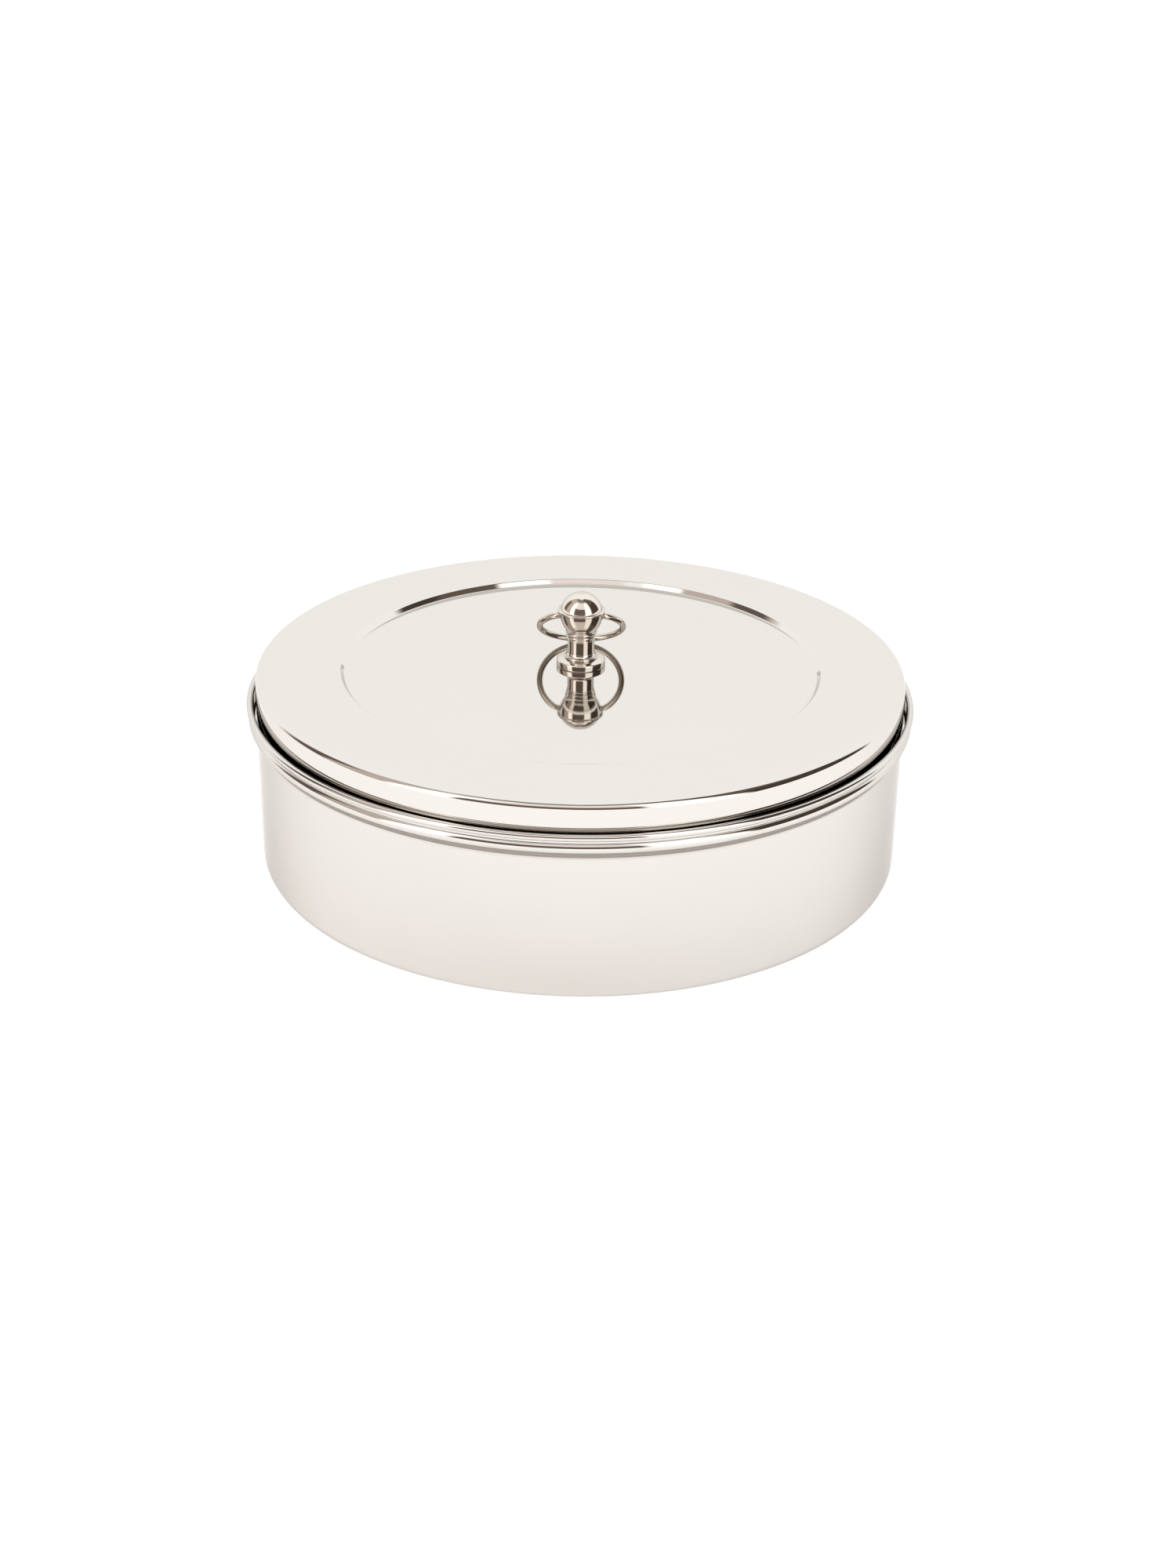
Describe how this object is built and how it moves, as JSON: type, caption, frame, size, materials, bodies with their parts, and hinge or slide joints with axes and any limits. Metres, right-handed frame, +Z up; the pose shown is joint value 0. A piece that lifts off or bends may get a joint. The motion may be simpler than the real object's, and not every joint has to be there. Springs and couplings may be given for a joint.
{
  "type": "spice box",
  "caption": "Round polished steel spice box with a lift-off lid, a ball knob with a swinging ring, an inner plate, loose round bowls and a small spoon.",
  "frame": {"origin": "middle of the box's underside, on the table", "axes": "+Z up through the knob, +Y towards the back, where the ring lies, +X to the right"},
  "size_m": [0.22, 0.22, 0.0911],
  "materials": {
    "box_steel": "polished, softly satin",
    "lid_steel": "mirror polished",
    "bowl_steel": "polished",
    "plate_steel": "polished",
    "spoon_steel": "polished",
    "knob_nickel": "mirror polished, nickel plated",
    "ring_nickel": "nickel plated wire",
    "fastener_steel": "bright zinc plated"
  },
  "bodies": {
    "box": {"body_shell": "box_steel"},
    "bowl_6": {"katori_6": "bowl_steel"},
    "bowl_5": {"katori_5": "bowl_steel"},
    "bowl_4": {"katori_4": "bowl_steel"},
    "bowl_3": {"katori_3": "bowl_steel"},
    "bowl_2": {"katori_2": "bowl_steel"},
    "bowl_1": {"katori_1": "bowl_steel"},
    "bowl_center": {"katori_center": "bowl_steel"},
    "plate": {"inner_plate": "plate_steel", "plate_knob": "plate_steel", "plate_rivet": "fastener_steel"},
    "spoon_body": {"spoon": "spoon_steel"},
    "lid": {"lid_shell": "lid_steel", "knob": "knob_nickel", "knob_washer": "fastener_steel", "knob_screw": "fastener_steel"},
    "ring": {"knob_ring": "ring_nickel"}
  },
  "joints": [
    {"name": "katori_6_lift", "type": "slide", "parent": "box", "child": "bowl_6", "axis": [0, 0, 1], "range_m": [0, 0.06]},
    {"name": "katori_5_lift", "type": "slide", "parent": "bowl_6", "child": "bowl_5", "axis": [0, 0, 1], "range_m": [0, 0.06]},
    {"name": "katori_4_lift", "type": "slide", "parent": "bowl_5", "child": "bowl_4", "axis": [0, 0, 1], "range_m": [0, 0.06]},
    {"name": "katori_3_lift", "type": "slide", "parent": "bowl_4", "child": "bowl_3", "axis": [0, 0, 1], "range_m": [0, 0.06]},
    {"name": "katori_2_lift", "type": "slide", "parent": "bowl_3", "child": "bowl_2", "axis": [0, 0, 1], "range_m": [0, 0.06]},
    {"name": "katori_1_lift", "type": "slide", "parent": "bowl_2", "child": "bowl_1", "axis": [0, 0, 1], "range_m": [0, 0.06]},
    {"name": "katori_center_lift", "type": "slide", "parent": "bowl_1", "child": "bowl_center", "axis": [0, 0, 1], "range_m": [0, 0.06]},
    {"name": "plate_lift", "type": "slide", "parent": "bowl_center", "child": "plate", "axis": [0, 0, 1], "range_m": [0, 0.04]},
    {"name": "spoon_lift", "type": "slide", "parent": "plate", "child": "spoon_body", "axis": [0, 0, 1], "range_m": [0, 0.03]},
    {"name": "lid_lift", "type": "slide", "parent": "spoon_body", "child": "lid", "axis": [0, 0, 1], "range_m": [0, 0.06]},
    {"name": "ring_swing", "type": "hinge", "parent": "lid", "child": "ring", "pos_m": [0, 0, 0.0832], "axis": [1, 0, 0], "range_deg": [0, 258.7]}
  ]
}
